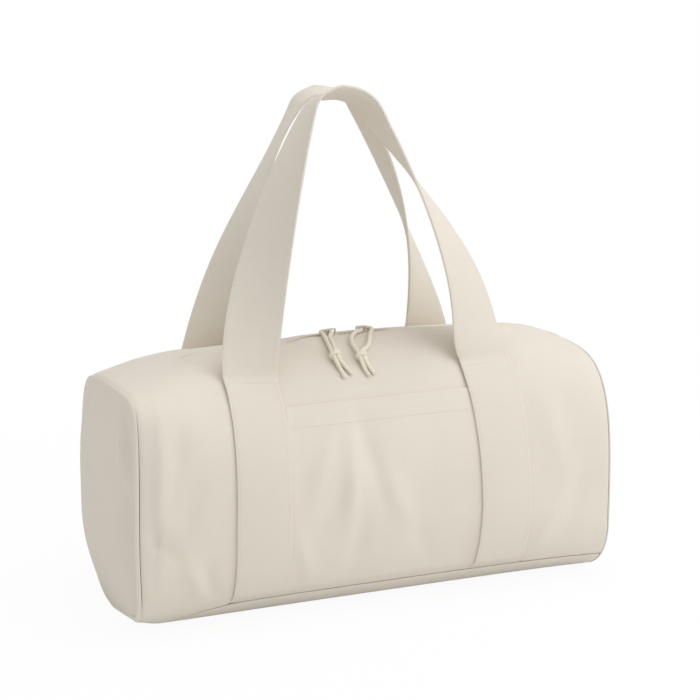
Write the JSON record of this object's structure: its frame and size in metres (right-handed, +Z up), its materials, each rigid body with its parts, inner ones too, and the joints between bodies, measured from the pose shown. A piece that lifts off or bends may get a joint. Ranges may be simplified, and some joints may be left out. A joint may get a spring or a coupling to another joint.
{
  "type": "barrel bag",
  "caption": "Natural canvas barrel bag with a zip along its ridge, a front slip pocket and webbing straps that rise into two carrying handles.",
  "frame": {"origin": "on the floor under the middle of the bag, at the centre of its box's base", "axes": "+X along the bag's length, -Y towards the pocket, +Z up"},
  "size_m": [0.4884, 0.2135, 0.4714],
  "materials": {
    "canvas": "plain-weave natural cotton canvas, unbleached",
    "webbing": "folded and stitched canvas strap, unbleached",
    "binding_tape": "woven cotton tape",
    "zip_resin": "moulded teeth, cream",
    "zip_metal": "cream enamel",
    "cotton_cord": "laid cotton cord"
  },
  "bodies": {
    "bag": {"front_panel": "canvas", "back_panel": "canvas", "base_panel": "canvas", "left_end_panel": "canvas", "right_end_panel": "canvas", "left_end_welt": "canvas", "right_end_welt": "canvas", "front_pocket": "canvas", "front_strap_left": "webbing", "front_strap_right": "webbing", "back_strap_left": "webbing", "back_strap_right": "webbing", "zip_tape_front": "binding_tape", "zip_tape_back": "binding_tape", "left_seam_binding": "binding_tape", "right_seam_binding": "binding_tape", "front_base_binding": "binding_tape", "back_base_binding": "binding_tape", "zip_teeth_front": "zip_resin", "zip_teeth_back": "zip_resin", "left_zip_stop": "zip_metal", "right_zip_stop": "zip_metal"},
    "front_handle": {"front_handle": "webbing"},
    "back_handle": {"back_handle": "webbing"},
    "left_slider": {"left_slider": "zip_metal"},
    "right_slider": {"right_slider": "zip_metal"},
    "left_pull": {"left_pull_cord": "cotton_cord"},
    "right_pull": {"right_pull_cord": "cotton_cord"}
  },
  "joints": [
    {"name": "front_handle_swing", "type": "hinge", "parent": "bag", "child": "front_handle", "pos_m": [0, -0.0594, 0.221], "axis": [1, 0, 0], "range_deg": [0, 120]},
    {"name": "back_handle_swing", "type": "hinge", "parent": "bag", "child": "back_handle", "pos_m": [0, 0.0758, 0.2045], "axis": [-1, 0, 0], "range_deg": [0, 120]},
    {"name": "left_slider_run", "type": "hinge", "parent": "bag", "child": "left_slider", "pos_m": [0, 0, -1.263], "axis": [0, -1, 0], "range_deg": [-0.33, 4.93], "deforming": ["zip_teeth_front"]},
    {"name": "right_slider_run", "type": "hinge", "parent": "bag", "child": "right_slider", "pos_m": [0, 0, -1.263], "axis": [0, 1, 0], "range_deg": [-0.33, 4.93], "deforming": ["zip_teeth_back"]},
    {"name": "left_pull_swing", "type": "hinge", "parent": "left_slider", "child": "left_pull", "pos_m": [-0.01506, 0, 0.24238], "axis": [-1, 0, 0], "range_deg": [0, 115], "deforming": ["left_pull_cord"]},
    {"name": "right_pull_swing", "type": "hinge", "parent": "right_slider", "child": "right_pull", "pos_m": [0.01506, 0, 0.24238], "axis": [-1, 0, 0], "range_deg": [0, 115], "deforming": ["right_pull_cord"]}
  ]
}
